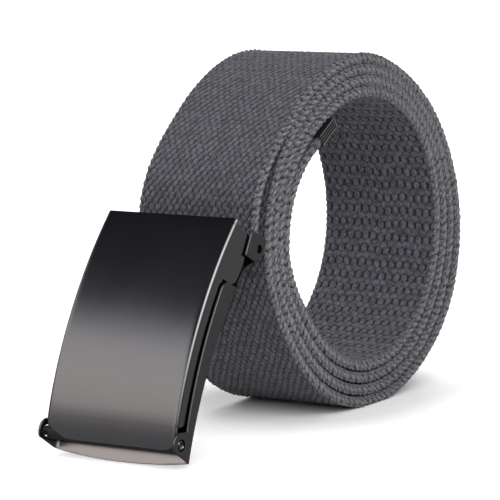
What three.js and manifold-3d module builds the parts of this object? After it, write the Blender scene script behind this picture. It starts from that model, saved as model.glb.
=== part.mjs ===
// Military web belt, rolled up and set on its edge, with its closed box buckle leaning on the roll.
// Millimetres, +Z up. X runs across the web, and the buckle faces -Y.

import * as THREE from 'three';
import { mergeVertices } from 'three/addons/utils/BufferGeometryUtils.js';
import Module from 'manifold-3d';

const wasm = await Module();
wasm.setup();

// Air kept between two pieces that meet
const CLEARANCE = 0.3;

// Web: width, thickness, the rounding of its selvedges and its thickness where metal grips it
const WEB_WIDTH = 38;
const WEB_THICKNESS = 3;
const WEB_EDGE_ROUND = 0.7;
const WEB_CLAMPED_THICKNESS = 2.6;
const WEB_CRIMPED_THICKNESS = 2;

// Roll: its size, the air between turns, and how much its weight flattens the lowest turn
const COIL_RADIUS = 52;
const COIL_TURN_GAP = 0.2;
const COIL_TURNS = 4.1625;
const COIL_REST_FLAT = 0.35;
const COIL_STATIONS_PER_TURN = 60;

// Shape of the roll by direction, in degrees from +Y towards +Z: the outer radius before winding
// as a share of COIL_RADIUS, and the step from one turn to the next as a share of WEB_THICKNESS
const COIL_SHAPE = [
  { angle: -180, radius: 1.02, pitch: 0.98 },
  { angle: -150, radius: 0.97, pitch: 1.07 },
  { angle: -120, radius: 0.975, pitch: 1.14 },
  { angle: -90, radius: 0.99, pitch: 1.16 },
  { angle: -60, radius: 1.01, pitch: 1.18 },
  { angle: -30, radius: 1.05, pitch: 1.35 },
  { angle: 0, radius: 1.03, pitch: 1.24 },
  { angle: 30, radius: 0.98, pitch: 0.94 },
  { angle: 60, radius: 0.96, pitch: 0.84 },
  { angle: 90, radius: 1, pitch: 1.04 },
  { angle: 120, radius: 1, pitch: 1.05 },
  { angle: 150, radius: 1.02, pitch: 1 },
  { angle: 180, radius: 1.02, pitch: 0.98 },
];

// Lead from the roll to the buckle: where it leaves the roll, in turns from the buckle's side,
// and the reach of its curve at both ends as shares of COIL_RADIUS
const LEAD_START_TURNS = 0.13;
const LEAD_ROLL_REACH = 0.54;
const LEAD_CLAMP_REACH = 0.12;
const LEAD_STATIONS = 14;

// End cap: a folded strip over the end of the web, which it draws in from the turn outside it
const TIP_LENGTH = 10;
const TIP_THICKNESS = 3.6;
const TIP_SHEET = 0.5;
const TIP_CORNER = 0.8;
const TIP_DROP = 1.2;
const TIP_EASE_TURNS = 0.11;
const TIP_SQUEEZE_LENGTH = 1.4;

// Buckle: its lean and its distance from the roll. Sizes along the buckle are counted upwards
// from the hinge line, and sizes outwards from the same line towards the wearer's front.
const BUCKLE_LEAN = THREE.MathUtils.degToRad(29.5);
const BUCKLE_ROLL_GAP = 1.4;

// Buckle frame: one bent sheet with side walls, round hinge ears below and clamp ears above.
// It stands past each selvedge of the web by the side room.
const FRAME_SIDE_ROOM = 3.1;
const FRAME_WIDTH = WEB_WIDTH + 2 * FRAME_SIDE_ROOM;
const FRAME_SHEET = 1;
const FRAME_BEND = 1.3;
const FRAME_TOP = 62;
const FRAME_BELOW = 3;
const FRAME_BULGE = 1.5;
const FRAME_WALL_HEIGHT = 11;
const PLATE_CROWN = -4.2;
const PLATE_CROWN_ALONG = 21;
const PLATE_ARC_RADIUS = 120;
const PLATE_STEP_START = 51.5;
const PLATE_STEP_LENGTH = 7;
const PLATE_CLAMP_DEPTH = 14.45;
const HINGE_EAR_RADIUS = 3.4;
const HINGE_EAR_FLAT = 2.4;
const CLAMP_EAR_LENGTH = 7.1;
const CLAMP_EAR_FRONT = -6;
const CLAMP_EAR_CORNER = 1;
const WALL_CORNER = 2.4;

// Lid: a curved cover with flanges inside the frame's walls and a deep lug on each side above
const LID_SHEET = 1;
const LID_BEND = 0.5;
const LID_TOP = 62.6;
const LID_BELOW = 1.8;
const LID_CROWN = 5;
const LID_CROWN_ALONG = 29.5;
const LID_ARC_RADIUS = 130;
const LID_STAND = 3.95;
const LID_FLANGE_DEPTH = 4.6;
const LID_FLANGE_START = 4.2;
const LID_TOP_CORNER = 0.8;
const LID_CUT_WIDTH = 6.5;
const LID_CUT_LENGTH = 3.3;
const LUG_LENGTH = 15;
const LUG_REACH = 7.3;
const LUG_TOP_INSET = 1.7;
const LUG_TOP_SLANT = 0.9;
const LUG_CORNER = 2;

// Cam bar and the pin that it turns on
const PIN_DEPTH = 0.5;
const PIN_RADIUS = 0.9;
const PIN_HEAD_RADIUS = 1.6;
const CAM_SIDE_INSET = 4;
const CAM_HALF_WIDTH = WEB_WIDTH / 2 - CAM_SIDE_INSET;
const CAM_BARREL_RADIUS = 2.1;
const CAM_LOBE_RADIUS = 1.9;
const CAM_LOBE_OFFSET = 0.8;

// Clamp jaw and its rivets
const JAW_SHEET = 1.2;
const JAW_ARM_SHEET = 0.8;
const JAW_ARM_RADIUS = 1.8;
const JAW_TOOTH = 0.8;
const JAW_TEETH = 3;
const JAW_TOP_INSET = 0.4;
const RIVET_RADIUS = 0.9;
const RIVET_BELOW_TOP = 3.4;
const RIVET_DEPTH = 11.2;
const RIVET_RECESS = 0.6;

// Fineness of curves, and how far a cutting solid runs past what it cuts
const ROUND_SEGMENTS = 24;
const BEND_SEGMENTS = 4;
const BUCKLE_STEPS = 32;
const CUT_OVERRUN = 4;
const SHAVE = 0.05;

// Solids and meshes

const toSolid = (geometry) => {
  const bare = geometry.clone();
  bare.deleteAttribute('normal');
  bare.deleteAttribute('uv');
  const merged = mergeVertices(bare);
  return new wasm.Manifold(new wasm.Mesh({
    numProp: 3,
    vertProperties: new Float32Array(merged.attributes.position.array),
    triVerts: new Uint32Array(merged.index.array),
  }));
};

const toGeometry = (solid) => {
  const mesh = solid.getMesh();
  const geometry = new THREE.BufferGeometry();
  geometry.setAttribute('position', new THREE.BufferAttribute(mesh.vertProperties, 3));
  geometry.setIndex(new THREE.BufferAttribute(mesh.triVerts, 1));
  geometry.computeVertexNormals();
  return geometry;
};

const piece = (name, geometry, material) => {
  const mesh = new THREE.Mesh(geometry, material);
  mesh.name = name;
  return mesh;
};

const extrude = (shape, depth, options = {}) => new THREE.ExtrudeGeometry(shape, {
  depth, steps: 1, curveSegments: BEND_SEGMENTS, bevelEnabled: false, ...options,
});

// A side outline, given in Y and Z, drawn out along X about the middle
const ALONG_X = new THREE.Matrix4().makeBasis(
  new THREE.Vector3(0, 1, 0), new THREE.Vector3(0, 0, 1), new THREE.Vector3(1, 0, 0));
const alongX = (shape, width, options) => extrude(shape, width, options)
  .translate(0, 0, -width / 2).applyMatrix4(ALONG_X);

// A plan outline, given in X and Z, drawn out along Y about the middle
const ALONG_Y = new THREE.Matrix4().makeBasis(
  new THREE.Vector3(1, 0, 0), new THREE.Vector3(0, 0, 1), new THREE.Vector3(0, -1, 0));
const alongY = (shape, depth) => extrude(shape, depth)
  .translate(0, 0, -depth / 2).applyMatrix4(ALONG_Y);

const rodAlongX = (radius, length) => new THREE.CylinderGeometry(radius, radius, length, ROUND_SEGMENTS)
  .rotateZ(-Math.PI / 2);

// Roll of web

const rollShape = new THREE.CubicInterpolant(
  COIL_SHAPE.map((row) => row.angle),
  COIL_SHAPE.flatMap((row) => [row.radius * COIL_RADIUS, row.pitch * WEB_THICKNESS]),
  2);
rollShape.settings = { endingStart: THREE.WrapAroundEnding, endingEnd: THREE.WrapAroundEnding };

// Direction in degrees after a number of turns, starting at the buckle's side over the top
const rollAngle = (turns) => THREE.MathUtils.euclideanModulo(360 - 360 * turns, 360) - 180;

const tipEase = (turns) => TIP_DROP
  * THREE.MathUtils.smoothstep(turns, COIL_TURNS - TIP_EASE_TURNS, COIL_TURNS);

const rollAt = (turns) => {
  const angle = rollAngle(turns);
  const [radius, pitch] = rollShape.evaluate(angle);
  const thickness = Math.min(WEB_THICKNESS, pitch - COIL_TURN_GAP);
  const direction = new THREE.Vector2(1, 0)
    .rotateAround(new THREE.Vector2(), THREE.MathUtils.degToRad(angle));
  return { direction, outer: radius - pitch * turns - tipEase(turns), thickness };
};

const rollMiddle = (turns) => {
  const { direction, outer, thickness } = rollAt(turns);
  return direction.multiplyScalar(outer - thickness / 2);
};

const ONE_STATION = 1 / COIL_STATIONS_PER_TURN;
const leftNormal = (along) => new THREE.Vector2(-along.y, along.x);

// End cap: its middle and the way that it points
const tipMiddle = rollMiddle(COIL_TURNS);
const tipForward = leftNormal(tipMiddle.clone().normalize()).negate();

// Buckle curves, outwards from the hinge line at a distance along the buckle

const arcOut = (along, crown, crownAlong, radius) =>
  crown - radius + Math.sqrt(radius ** 2 - (along - crownAlong) ** 2);

const coverOut = (along) => arcOut(along, LID_CROWN, LID_CROWN_ALONG, LID_ARC_RADIUS);

const plateArc = (along) => arcOut(along, PLATE_CROWN, PLATE_CROWN_ALONG, PLATE_ARC_RADIUS);

// The plate's rear face: an arc, and a step back behind the clamped web
const plateOut = (along) => {
  if (along <= PLATE_STEP_START) return plateArc(along);
  const share = Math.min(1, (along - PLATE_STEP_START) / PLATE_STEP_LENGTH);
  const start = plateArc(PLATE_STEP_START);
  const slope = (start - plateArc(PLATE_STEP_START - SHAVE)) / SHAVE * PLATE_STEP_LENGTH;
  const eased = share ** 2 * (3 - 2 * share);
  return THREE.MathUtils.lerp(start, -PLATE_CLAMP_DEPTH, eased) + slope * share * (1 - share) ** 2;
};

const plateInner = (along) => plateOut(along) + FRAME_SHEET;

// The frame stands with the middle of its lower edge on the same floor as the roll
const lowestAlong = -FRAME_BELOW - FRAME_BULGE;
const frameFoot = -lowestAlong * Math.cos(BUCKLE_LEAN) - plateOut(lowestAlong) * Math.sin(BUCKLE_LEAN);
const clampBack = FRAME_TOP * Math.sin(BUCKLE_LEAN) + PLATE_CLAMP_DEPTH * Math.cos(BUCKLE_LEAN);
const hingeY = -(COIL_RADIUS + BUCKLE_ROLL_GAP + clampBack);

// Web path: the stations on its outer and inner side, from the clamp to the end cap

const outerSide = [];
const innerSide = [];
const addStation = (middle, along, thickness) => {
  const across = leftNormal(along).normalize().multiplyScalar(thickness / 2);
  outerSide.push(middle.clone().add(across));
  innerSide.push(middle.clone().sub(across));
};

const rollStations = [];
for (let turns = Math.ceil(LEAD_START_TURNS / ONE_STATION) * ONE_STATION;
  turns < COIL_TURNS - 2.5 * ONE_STATION; turns += ONE_STATION) {
  rollStations.push(rollAt(turns));
}
const rollFoot = Math.min(...rollStations.map(({ direction, outer }) => direction.y * outer));
const floorZ = rollFoot + COIL_REST_FLAT;
const hingeZ = floorZ + frameFoot;

const buckleUp = new THREE.Vector2(Math.sin(BUCKLE_LEAN), Math.cos(BUCKLE_LEAN));
const buckleOut = leftNormal(buckleUp);
const onBuckle = (out, along) => new THREE.Vector2(hingeY, hingeZ)
  .addScaledVector(buckleOut, out).addScaledVector(buckleUp, along);

// The clamped end of the web lies on the plate, above the plate's step
const webEndAlong = PLATE_STEP_START + PLATE_STEP_LENGTH + CLEARANCE;
const clampedOut = CLEARANCE + FRAME_SHEET + WEB_CLAMPED_THICKNESS / 2 - PLATE_CLAMP_DEPTH;
addStation(onBuckle(clampedOut, webEndAlong), buckleUp, WEB_CLAMPED_THICKNESS);

const leadStart = onBuckle(clampedOut, FRAME_TOP);
const leadEnd = rollMiddle(LEAD_START_TURNS);
const leadWay = rollMiddle(LEAD_START_TURNS + ONE_STATION).sub(leadEnd).normalize();
const lead = new THREE.CubicBezierCurve(
  leadStart,
  leadStart.clone().addScaledVector(buckleUp, LEAD_CLAMP_REACH * COIL_RADIUS),
  leadEnd.clone().addScaledVector(leadWay, -LEAD_ROLL_REACH * COIL_RADIUS),
  leadEnd);
for (let step = 0; step < LEAD_STATIONS; step += 1) {
  const share = step / LEAD_STATIONS;
  const thickness = THREE.MathUtils.lerp(WEB_CLAMPED_THICKNESS, rollAt(LEAD_START_TURNS).thickness, share);
  addStation(lead.getPoint(share), lead.getTangent(share), thickness);
}

rollStations.forEach(({ direction, outer, thickness }) => {
  outerSide.push(direction.clone().multiplyScalar(outer));
  innerSide.push(direction.clone().multiplyScalar(outer - thickness));
});

const inTip = (forward) => tipMiddle.clone().addScaledVector(tipForward, forward);
addStation(inTip(-TIP_LENGTH / 2 - TIP_SQUEEZE_LENGTH), tipForward, rollAt(COIL_TURNS).thickness);
addStation(inTip(-TIP_LENGTH / 2 - CLEARANCE), tipForward, WEB_CRIMPED_THICKNESS);
addStation(inTip(TIP_LENGTH / 2 - TIP_SHEET - CLEARANCE), tipForward, WEB_CRIMPED_THICKNESS);

outerSide.forEach((point) => { point.y = Math.max(point.y, floorZ); });

const webGeometry = alongX(
  new THREE.Shape([...outerSide, ...innerSide.reverse()]), WEB_WIDTH - 2 * WEB_EDGE_ROUND, {
    bevelEnabled: true,
    bevelThickness: WEB_EDGE_ROUND,
    bevelSize: WEB_EDGE_ROUND,
    bevelOffset: -WEB_EDGE_ROUND,
    bevelSegments: 1,
  });

// End cap, drawn with its open side at the back

const tipShape = () => {
  const back = -TIP_LENGTH / 2;
  const front = TIP_LENGTH / 2;
  const half = TIP_THICKNESS / 2;
  const shape = new THREE.Shape();
  shape.moveTo(back, -half);
  shape.lineTo(front - TIP_CORNER, -half);
  shape.absarc(front - TIP_CORNER, -half + TIP_CORNER, TIP_CORNER, -Math.PI / 2, 0, false);
  shape.absarc(front - TIP_CORNER, half - TIP_CORNER, TIP_CORNER, 0, Math.PI / 2, false);
  shape.lineTo(back, half);
  shape.lineTo(back, half - TIP_SHEET);
  shape.lineTo(front - TIP_SHEET, half - TIP_SHEET);
  shape.lineTo(front - TIP_SHEET, -half + TIP_SHEET);
  shape.lineTo(back, -half + TIP_SHEET);
  return shape;
};

// Buckle sheets. A side outline is drawn from points outwards and along.

const side = (out, along) => new THREE.Vector2(-out, along);

const sampled = (start, end, count, point) => Array.from({ length: count + 1 }, (_, index) =>
  point(THREE.MathUtils.lerp(start, end, index / count)));

// Section of a bent sheet with two walls, which stand from the face at zero towards one side
const channelShape = (width, height, sheet, bend) => {
  const half = width / 2;
  const shape = new THREE.Shape();
  shape.moveTo(half, height);
  shape.lineTo(half - sheet, height);
  if (bend > sheet) {
    shape.lineTo(half - sheet, bend);
    shape.absarc(half - bend, bend, bend - sheet, 0, -Math.PI / 2, true);
    shape.lineTo(bend - half, sheet);
    shape.absarc(bend - half, bend, bend - sheet, -Math.PI / 2, -Math.PI, true);
  } else {
    shape.lineTo(half - sheet, sheet);
    shape.lineTo(sheet - half, sheet);
  }
  shape.lineTo(sheet - half, height);
  shape.lineTo(-half, height);
  shape.lineTo(-half, bend);
  shape.absarc(bend - half, bend, bend, Math.PI, 1.5 * Math.PI, false);
  shape.lineTo(half - bend, 0);
  shape.absarc(half - bend, bend, bend, -Math.PI / 2, 0, false);
  return shape;
};

// A channel drawn upwards, with its face moved onto a curve and its walls towards one side
const bentChannel = (shape, low, high, faceOut, wallSide) => {
  const geometry = extrude(shape, high - low, { steps: BUCKLE_STEPS });
  if (wallSide > 0) geometry.rotateZ(Math.PI);
  geometry.translate(0, 0, low);
  const position = geometry.attributes.position;
  for (let index = 0; index < position.count; index += 1) {
    position.setY(index, position.getY(index) - faceOut(position.getZ(index)));
  }
  return toSolid(geometry);
};

// Buckle frame

const lugTop = LID_TOP - LUG_TOP_INSET;
const lugLow = lugTop - LUG_LENGTH;
const wallTop = lugLow - CLEARANCE;
const clampEarLow = FRAME_TOP - CLAMP_EAR_LENGTH;
const wallFront = (along) => coverOut(along) - LID_STAND;
const farBehind = -PLATE_CLAMP_DEPTH - CUT_OVERRUN;

const frameSide = () => {
  const earStart = -Math.asin(HINGE_EAR_FLAT / HINGE_EAR_RADIUS);
  const wallStart = HINGE_EAR_RADIUS * 1.4;
  const plateLevel = plateInner(0) + FRAME_SHEET;
  return [
    side(farBehind, lowestAlong - CUT_OVERRUN),
    side(plateLevel, lowestAlong - CUT_OVERRUN),
    side(plateLevel, -FRAME_BELOW),
    ...sampled(earStart, Math.PI * 0.45, 7, (angle) => side(
      HINGE_EAR_RADIUS * Math.cos(angle) - PIN_DEPTH, HINGE_EAR_RADIUS * Math.sin(angle))),
    ...sampled(wallStart, wallTop - WALL_CORNER, 12, (along) => side(wallFront(along), along)),
    ...sampled(Math.PI / 8, Math.PI / 2, 3, (angle) => side(
      wallFront(wallTop) - WALL_CORNER + WALL_CORNER * Math.cos(angle),
      wallTop - WALL_CORNER + WALL_CORNER * Math.sin(angle))),
    ...sampled(wallTop, clampEarLow, 7, (along) => side(plateInner(along) - SHAVE, along)),
    side(CLAMP_EAR_FRONT, clampEarLow),
    ...sampled(0, Math.PI / 2, 3, (angle) => side(
      CLAMP_EAR_FRONT - CLAMP_EAR_CORNER * (1 - Math.cos(angle)),
      FRAME_TOP - CLAMP_EAR_CORNER * (1 - Math.sin(angle)))),
    side(CLAMP_EAR_FRONT - CLAMP_EAR_CORNER * 2, FRAME_TOP + CUT_OVERRUN),
    side(farBehind, FRAME_TOP + CUT_OVERRUN),
  ];
};

const framePlan = () => {
  const half = FRAME_WIDTH / 2 + CUT_OVERRUN;
  return [
    new THREE.Vector2(half, FRAME_TOP + CUT_OVERRUN),
    new THREE.Vector2(-half, FRAME_TOP + CUT_OVERRUN),
    ...sampled(-1, 1, 16, (share) => new THREE.Vector2(
      share * half,
      FRAME_BULGE * (share * half * 2 / FRAME_WIDTH) ** 2 - FRAME_BELOW - FRAME_BULGE)),
  ];
};

const buckleFrame = () => bentChannel(
  channelShape(FRAME_WIDTH, FRAME_WALL_HEIGHT, FRAME_SHEET, FRAME_BEND),
  lowestAlong, FRAME_TOP, plateOut, 1)
  .intersect(toSolid(alongX(new THREE.Shape(frameSide()), FRAME_WIDTH + CUT_OVERRUN)))
  .intersect(toSolid(alongY(new THREE.Shape(framePlan()), 4 * PLATE_CLAMP_DEPTH)))
  .subtract(toSolid(rodAlongX(PIN_HEAD_RADIUS + CLEARANCE, FRAME_WIDTH + CUT_OVERRUN)
    .translate(0, PIN_DEPTH, 0)))
  .subtract(toSolid(rodAlongX(RIVET_RADIUS + CLEARANCE, FRAME_WIDTH + CUT_OVERRUN)
    .translate(0, RIVET_DEPTH, FRAME_TOP - RIVET_BELOW_TOP)));

// Lid

const lidWidth = FRAME_WIDTH - 2 * (FRAME_SHEET + CLEARANCE);

// Lower edge of the lugs: level, but kept clear of the plate, with round corners
const lugOut = (along) => {
  const fromEnd = Math.min(along - lugLow, lugTop - along, LUG_CORNER);
  const corner = LUG_CORNER - Math.sqrt(LUG_CORNER ** 2 - (LUG_CORNER - fromEnd) ** 2);
  return Math.max(-LUG_REACH, plateInner(along) + CLEARANCE) + corner;
};

const lidSide = () => {
  const flangeOut = (along) => coverOut(along) - LID_FLANGE_DEPTH;
  const coverInner = (along) => coverOut(along) - LID_SHEET - CLEARANCE;
  const farFront = LID_CROWN + CUT_OVERRUN;
  return [
    side(farFront, -LID_BELOW - CUT_OVERRUN),
    side(farFront, LID_TOP + CUT_OVERRUN),
    side(coverInner(LID_TOP), LID_TOP + CUT_OVERRUN),
    side(coverInner(LID_TOP), lugTop + LUG_TOP_SLANT),
    ...sampled(lugTop, lugTop - LUG_CORNER, 3, (along) => side(lugOut(along), along)),
    ...sampled(lugTop - 2 * LUG_CORNER, lugLow + LUG_CORNER, 5, (along) => side(lugOut(along), along)),
    ...sampled(lugLow + LUG_CORNER / 2, lugLow, 2, (along) => side(lugOut(along), along)),
    ...sampled(lugLow, LID_FLANGE_START * 1.5, 12, (along) => side(flangeOut(along), along)),
    side(flangeOut(LID_FLANGE_START) + 1, LID_FLANGE_START * 1.1),
    ...sampled(LID_FLANGE_START, -LID_BELOW - CUT_OVERRUN, 4, (along) => side(coverInner(along), along)),
  ];
};

const lidPlan = () => {
  const half = lidWidth / 2;
  const past = half + CUT_OVERRUN;
  const cutSlope = LID_CUT_LENGTH / LID_CUT_WIDTH;
  const right = [
    new THREE.Vector2(half - LID_CUT_WIDTH, -LID_BELOW),
    new THREE.Vector2(past, -LID_BELOW + LID_CUT_LENGTH + CUT_OVERRUN * cutSlope),
    new THREE.Vector2(past, LID_TOP - LID_TOP_CORNER - CUT_OVERRUN),
    new THREE.Vector2(half - LID_TOP_CORNER - CUT_OVERRUN, LID_TOP + CUT_OVERRUN),
  ];
  const left = right.map((point) => new THREE.Vector2(-point.x, point.y)).reverse();
  return [...right, ...left];
};

const buckleLid = () => bentChannel(
  channelShape(lidWidth, LUG_REACH + LID_CROWN, LID_SHEET, LID_BEND),
  -LID_BELOW - CUT_OVERRUN, LID_TOP, coverOut, -1)
  .intersect(toSolid(alongX(new THREE.Shape(lidSide()), lidWidth + CUT_OVERRUN)))
  .intersect(toSolid(alongY(new THREE.Shape(lidPlan()), 4 * LUG_REACH)))
  .add(toSolid(rodAlongX(CAM_BARREL_RADIUS, 2 * CAM_HALF_WIDTH).translate(0, PIN_DEPTH, 0)))
  .add(toSolid(rodAlongX(CAM_LOBE_RADIUS, 2 * CAM_HALF_WIDTH)
    .translate(0, PIN_DEPTH + CAM_LOBE_OFFSET, 0)))
  .subtract(toSolid(rodAlongX(PIN_RADIUS + CLEARANCE, FRAME_WIDTH + CUT_OVERRUN)
    .translate(0, PIN_DEPTH, 0)));

// Hinge pin with a head in each ear

const pinShape = () => {
  const end = FRAME_WIDTH / 2;
  const neck = end - FRAME_SHEET - CLEARANCE / 2;
  return [
    new THREE.Vector2(0, -end),
    new THREE.Vector2(PIN_HEAD_RADIUS, -end),
    new THREE.Vector2(PIN_HEAD_RADIUS, -neck),
    new THREE.Vector2(PIN_RADIUS, -neck),
    new THREE.Vector2(PIN_RADIUS, neck),
    new THREE.Vector2(PIN_HEAD_RADIUS, neck),
    new THREE.Vector2(PIN_HEAD_RADIUS, end),
    new THREE.Vector2(0, end),
  ];
};

// Clamp jaw: a toothed bar before the web with an arm on each side of it

const webFrontOut = clampedOut + WEB_CLAMPED_THICKNESS / 2;
const jawBackOut = webFrontOut + CLEARANCE + JAW_TOOTH;
const jawFrontOut = jawBackOut + JAW_SHEET;
const jawLow = FRAME_TOP - RIVET_BELOW_TOP - JAW_ARM_RADIUS;
const jawTop = FRAME_TOP - JAW_TOP_INSET;
const armInner = WEB_WIDTH / 2 + CLEARANCE;

const jawBarSide = () => {
  const pitch = (jawTop - jawLow) / JAW_TEETH;
  const teeth = Array.from({ length: JAW_TEETH }, (_, index) => [
    side(jawBackOut, jawLow + index * pitch),
    side(jawBackOut - JAW_TOOTH, jawLow + (index + 0.5) * pitch),
  ]).flat();
  return [side(jawFrontOut, jawTop), side(jawFrontOut, jawLow), ...teeth, side(jawBackOut, jawTop)];
};

const jawArmSide = () => [
  side(jawFrontOut, jawTop),
  side(jawFrontOut, jawLow),
  ...sampled(Math.PI, 2 * Math.PI, 8, (angle) => side(
    JAW_ARM_RADIUS * Math.sin(angle) - RIVET_DEPTH,
    JAW_ARM_RADIUS * Math.cos(angle) + FRAME_TOP - RIVET_BELOW_TOP)),
];

const clampJaw = () => {
  const arm = toSolid(alongX(new THREE.Shape(jawArmSide()), JAW_ARM_SHEET));
  const offset = armInner + JAW_ARM_SHEET / 2;
  return toSolid(alongX(new THREE.Shape(jawBarSide()), 2 * armInner + JAW_ARM_SHEET))
    .add(arm.translate([offset, 0, 0]))
    .add(arm.translate([-offset, 0, 0]))
    .subtract(toSolid(rodAlongX(RIVET_RADIUS + CLEARANCE, FRAME_WIDTH + CUT_OVERRUN)
      .translate(0, RIVET_DEPTH, FRAME_TOP - RIVET_BELOW_TOP)));
};

const rivetLength = FRAME_WIDTH / 2 - RIVET_RECESS - armInner;
const rivetOffset = armInner + rivetLength / 2;

// Materials

const webMaterial = new THREE.MeshStandardMaterial({ color: 0x55565a, roughness: 0.95, metalness: 0 });
const lidMaterial = new THREE.MeshStandardMaterial({ color: 0x5a5a60, roughness: 0.35, metalness: 1 });
const frameMaterial = new THREE.MeshStandardMaterial({ color: 0x68686c, roughness: 0.4, metalness: 1 });
const pinMaterial = new THREE.MeshStandardMaterial({ color: 0x77777a, roughness: 0.35, metalness: 1 });
const tipMaterial = new THREE.MeshStandardMaterial({ color: 0x1c1c1f, roughness: 0.45, metalness: 0.4 });

// Scene

const tip = piece('belt_tip', alongX(tipShape(), WEB_WIDTH + 2 * CLEARANCE), tipMaterial);
tip.position.set(0, tipMiddle.x, tipMiddle.y);
tip.rotation.x = tipForward.angle();

const pin = piece('hinge_pin', new THREE.LatheGeometry(pinShape(), ROUND_SEGMENTS), pinMaterial);
pin.rotation.z = -Math.PI / 2;
pin.position.set(0, PIN_DEPTH, 0);

const buckle = new THREE.Group();
buckle.position.set(0, hingeY, hingeZ);
buckle.rotation.x = -BUCKLE_LEAN;
buckle.add(
  piece('buckle_frame', toGeometry(buckleFrame()), frameMaterial),
  piece('buckle_lid', toGeometry(buckleLid()), lidMaterial),
  pin,
  piece('clamp_jaw', toGeometry(clampJaw()), frameMaterial));

[['clamp_rivet_left', -1], ['clamp_rivet_right', 1]].forEach(([name, sign]) => {
  const rivet = piece(name, rodAlongX(RIVET_RADIUS, rivetLength), pinMaterial);
  rivet.position.set(sign * rivetOffset, RIVET_DEPTH, FRAME_TOP - RIVET_BELOW_TOP);
  buckle.add(rivet);
});

// The origin is the middle of the underside of the whole belt
const belt = new THREE.Group();
belt.add(piece('web_strap', webGeometry, webMaterial), tip, buckle);
const bounds = new THREE.Box3().setFromObject(belt, true);
const middle = bounds.getCenter(new THREE.Vector3());
belt.position.set(-middle.x, -middle.y, -bounds.min.z);

export default belt;
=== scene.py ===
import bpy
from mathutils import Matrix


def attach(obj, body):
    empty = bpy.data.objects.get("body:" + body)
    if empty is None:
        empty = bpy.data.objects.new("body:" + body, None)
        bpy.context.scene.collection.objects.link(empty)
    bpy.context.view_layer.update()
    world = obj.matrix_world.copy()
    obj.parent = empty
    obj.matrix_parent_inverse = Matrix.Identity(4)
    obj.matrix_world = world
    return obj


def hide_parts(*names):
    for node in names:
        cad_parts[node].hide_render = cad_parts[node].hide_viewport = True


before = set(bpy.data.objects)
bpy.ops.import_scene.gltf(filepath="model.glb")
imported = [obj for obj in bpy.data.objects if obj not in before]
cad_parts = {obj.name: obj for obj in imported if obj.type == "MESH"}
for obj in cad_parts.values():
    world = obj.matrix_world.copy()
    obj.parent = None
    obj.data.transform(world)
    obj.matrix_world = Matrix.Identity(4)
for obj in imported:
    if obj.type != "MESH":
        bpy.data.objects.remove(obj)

"""Looks of a rolled web belt with a closed box buckle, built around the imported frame."""

import logging
import math
from collections.abc import Callable, Iterator, Sequence
from contextlib import contextmanager
from dataclasses import dataclass, field
from enum import Enum

import bmesh
import bpy
import numpy as np
from mathutils import Matrix, Vector

LOG = logging.getLogger("belt")
MM = 0.001
IMAGE_SIDE = 500
TURN = 2 * math.pi
CLOTH = {"Sheen Weight": 0.12, "Sheen Roughness": 0.5, "Specular IOR Level": 0.12,
         "Roughness": 0.95}
Colour = tuple[float, float, float]
Array = np.ndarray


class Body(Enum):
    """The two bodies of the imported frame."""

    BELT = "belt"
    LID = "lid"


class Slot(Enum):
    """Material slots of the record."""

    WEB = "web"
    BLACK = "black_metal"
    FRAME = "frame_metal"
    LID = "lid_metal"
    PIN = "pin_metal"


class Face(Enum):
    """The two faces of the web."""

    OUTER = 1
    INNER = -1


class Value:
    """A shader output that works in sums, products and comparisons."""

    def __init__(self, graph: "Graph", socket: bpy.types.NodeSocket | None) -> None:
        """Keep the graph and the output socket."""
        self.graph = graph
        self.socket = socket

    def maths(self, operation: str, *inputs: "Value | float") -> "Value":
        """Add one Math node with its inputs in order."""
        return self.graph.node("ShaderNodeMath", {"operation": operation}, dict(enumerate(inputs)))

    def __add__(self, other: "Value | float") -> "Value":
        """Sum."""
        return self.maths("ADD", self, other)

    def __radd__(self, other: float) -> "Value":
        """Sum with a number on the left."""
        return self.maths("ADD", other, self)

    def __sub__(self, other: "Value | float") -> "Value":
        """Difference."""
        return self.maths("SUBTRACT", self, other)

    def __rsub__(self, other: float) -> "Value":
        """Difference from a number."""
        return self.maths("SUBTRACT", other, self)

    def __mul__(self, other: "Value | float") -> "Value":
        """Product."""
        return self.maths("MULTIPLY", self, other)

    def __rmul__(self, other: float) -> "Value":
        """Product with a number on the left."""
        return self.maths("MULTIPLY", other, self)

    def __truediv__(self, other: "Value | float") -> "Value":
        """Quotient."""
        return self.maths("DIVIDE", self, other)

    def __pow__(self, other: float) -> "Value":
        """Power."""
        return self.maths("POWER", self, other)

    def fraction(self) -> "Value":
        """Part after the whole number."""
        return self.maths("FRACT", self)

    def absolute(self) -> "Value":
        """Size without sign."""
        return self.maths("ABSOLUTE", self)

    def wave(self) -> "Value":
        """Wave between 0 and 1, once in each turn."""
        return self.maths("SINE", self * TURN) * 0.5 + 0.5

    def root(self) -> "Value":
        """Square root."""
        return self.maths("SQRT", self)

    def least(self, other: float) -> "Value":
        """Smaller of two."""
        return self.maths("MINIMUM", self, other)

    def most(self, other: "Value | float") -> "Value":
        """Larger of two."""
        return self.maths("MAXIMUM", self, other)


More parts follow.
